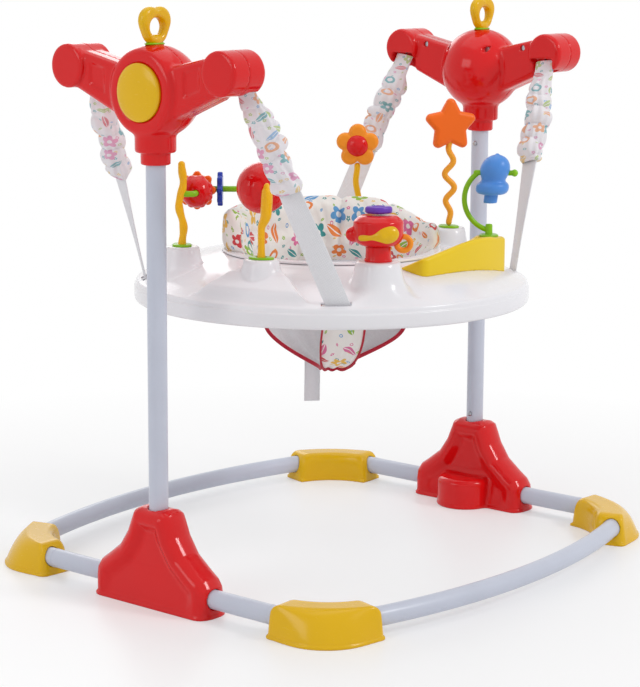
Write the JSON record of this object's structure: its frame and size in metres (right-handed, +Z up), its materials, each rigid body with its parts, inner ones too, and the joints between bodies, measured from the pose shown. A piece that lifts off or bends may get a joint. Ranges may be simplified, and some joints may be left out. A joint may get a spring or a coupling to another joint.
{
  "type": "baby jumper frame",
  "caption": "Free-standing baby jumper: bent tube base, uprights with red heads, sprung fabric straps, round white toy tray and swivelling fabric seat.",
  "frame": {"origin": "on the floor at the middle of the base ring", "axes": "+Z up, +X from the middle towards the right upright, +Y away from the front, where the spinner and the music pod are"},
  "size_m": [0.854, 0.772, 0.8535],
  "materials": {
    "tube_paint": "satin",
    "yellow_plastic": "gloss",
    "red_plastic": "gloss",
    "steel": "satin",
    "print_fabric": "woven, printed",
    "sling_fabric": "woven",
    "webbing": "woven",
    "inner_plastic": "satin",
    "white_plastic": "gloss",
    "green_plastic": "gloss",
    "orange_plastic": "gloss",
    "blue_plastic": "gloss",
    "purple_plastic": "gloss"
  },
  "bodies": {
    "frame": {"base_tube_front_left": "tube_paint", "base_tube_front_right": "tube_paint", "base_tube_back_left": "tube_paint", "base_tube_back_right": "tube_paint", "foot_frame_left": "tube_paint", "foot_frame_right": "tube_paint", "corner_foot_front_left": "yellow_plastic", "corner_foot_front_right": "yellow_plastic", "corner_foot_back_left": "yellow_plastic", "corner_foot_back_right": "yellow_plastic", "foot_housing_left": "red_plastic", "foot_housing_right": "red_plastic", "upright_left": "tube_paint", "upright_right": "tube_paint", "head_stub_left": "tube_paint", "head_stub_right": "tube_paint", "head_outer_shell_left": "red_plastic", "head_outer_shell_right": "red_plastic", "head_inner_shell_left": "red_plastic", "head_inner_shell_right": "red_plastic", "head_covers": "yellow_plastic", "heart_loops": "yellow_plastic", "head_screws": "steel", "strap_pins": "steel", "sleeve_front_left": "print_fabric", "sleeve_front_right": "print_fabric", "sleeve_back_left": "print_fabric", "sleeve_back_right": "print_fabric", "suspension_springs": "steel"},
    "tray": {"tray_shell": "white_plastic", "leaf_bases": "green_plastic", "bead_post": "yellow_plastic", "bead_branch": "green_plastic", "ball_stem": "yellow_plastic", "music_pod": "yellow_plastic", "spinner_base": "red_plastic", "swing_arm": "green_plastic", "tray_straps": "webbing", "strap_plates": "inner_plastic"},
    "seat": {"seat_ring": "white_plastic", "seat_retainer": "inner_plastic", "seat_sling": "sling_fabric", "seat_pad": "print_fabric", "tail_strap": "webbing"},
    "ball": {"spin_ball": "red_plastic"},
    "bead": {"red_bead": "red_plastic"},
    "wheel": {"blue_wheel": "blue_plastic"},
    "flower": {"flower_stem": "orange_plastic", "flower_head": "orange_plastic"},
    "star": {"star_stem": "orange_plastic", "star_head": "orange_plastic"},
    "spinner": {"spinner_body": "red_plastic"},
    "rotor": {"spinner_rotor": "purple_plastic"},
    "swinger": {"swing_toy": "blue_plastic"},
    "button_base_front": {"snap_button_base_front": "steel"},
    "button_base_back": {"snap_button_base_back": "steel"},
    "button_lower_left": {"snap_button_lower_left": "steel"},
    "button_lower_right": {"snap_button_lower_right": "steel"},
    "button_upper_left": {"snap_button_upper_left": "steel"},
    "button_upper_right": {"snap_button_upper_right": "steel"}
  },
  "joints": [
    {"name": "tray_bounce", "type": "slide", "parent": "frame", "child": "tray", "axis": [0, 0, 1], "range_m": [-0.1, 0], "stiffness_N_per_m": 1200, "springref_m": 0.07, "deforming": ["sleeve_front_left", "sleeve_front_right", "sleeve_back_left", "sleeve_back_right", "suspension_springs"]},
    {"name": "seat_swivel", "type": "hinge", "parent": "tray", "child": "seat", "pos_m": [0, 0, 0.474], "axis": [0, 0, 1], "continuous": true},
    {"name": "ball_spin", "type": "hinge", "parent": "tray", "child": "ball", "pos_m": [-0.22725, -0.06625, 0.587], "axis": [0.6588, 0.7523, 0], "continuous": true},
    {"name": "bead_spin", "type": "hinge", "parent": "tray", "child": "bead", "pos_m": [-0.19611, 0.10279, 0.568], "axis": [0.7694, 0.6388, 0], "continuous": true},
    {"name": "wheel_spin", "type": "hinge", "parent": "tray", "child": "wheel", "pos_m": [-0.15503, 0.1629, 0.568], "axis": [0.6388, -0.7694, 0], "continuous": true},
    {"name": "flower_sway", "type": "hinge", "parent": "tray", "child": "flower", "pos_m": [0.20888, 0.11818, 0.4983], "axis": [-0.809, -0.5878, 0], "range_deg": [-20, 20], "stiffness_Nm_per_rad": 0.9},
    {"name": "star_sway", "type": "hinge", "parent": "tray", "child": "star", "pos_m": [0.23475, -0.0499, 0.4978], "axis": [-0.5736, -0.8192, 0], "range_deg": [-20, 20], "stiffness_Nm_per_rad": 0.9},
    {"name": "spinner_spin", "type": "hinge", "parent": "tray", "child": "spinner", "pos_m": [-0.13594, -0.19779, 0.512], "axis": [0, 0, 1], "continuous": true},
    {"name": "rotor_spin", "type": "hinge", "parent": "spinner", "child": "rotor", "pos_m": [-0.13594, -0.19779, 0.558], "axis": [0, 0, 1], "continuous": true},
    {"name": "swing_toy_spin", "type": "hinge", "parent": "tray", "child": "swinger", "pos_m": [0.136, -0.198, 0.5955], "axis": [0.5662, -0.8243, 0], "continuous": true},
    {"name": "button_base_front_press", "type": "slide", "parent": "frame", "child": "button_base_front", "axis": [-0.0187, 0.9998, 0], "range_m": [-0.004, 0], "stiffness_N_per_m": 600, "springref_m": 0.002},
    {"name": "button_base_back_press", "type": "slide", "parent": "frame", "child": "button_base_back", "axis": [0.0187, -0.9998, 0], "range_m": [-0.004, 0], "stiffness_N_per_m": 600, "springref_m": 0.002},
    {"name": "button_lower_left_press", "type": "slide", "parent": "frame", "child": "button_lower_left", "axis": [1, 0, 0], "range_m": [-0.004, 0], "stiffness_N_per_m": 600, "springref_m": 0.002},
    {"name": "button_lower_right_press", "type": "slide", "parent": "frame", "child": "button_lower_right", "axis": [-1, 0, 0], "range_m": [-0.004, 0], "stiffness_N_per_m": 600, "springref_m": 0.002},
    {"name": "button_upper_left_press", "type": "slide", "parent": "frame", "child": "button_upper_left", "axis": [1, 0, 0], "range_m": [-0.004, 0], "stiffness_N_per_m": 600, "springref_m": 0.002},
    {"name": "button_upper_right_press", "type": "slide", "parent": "frame", "child": "button_upper_right", "axis": [-1, 0, 0], "range_m": [-0.004, 0], "stiffness_N_per_m": 600, "springref_m": 0.002}
  ]
}
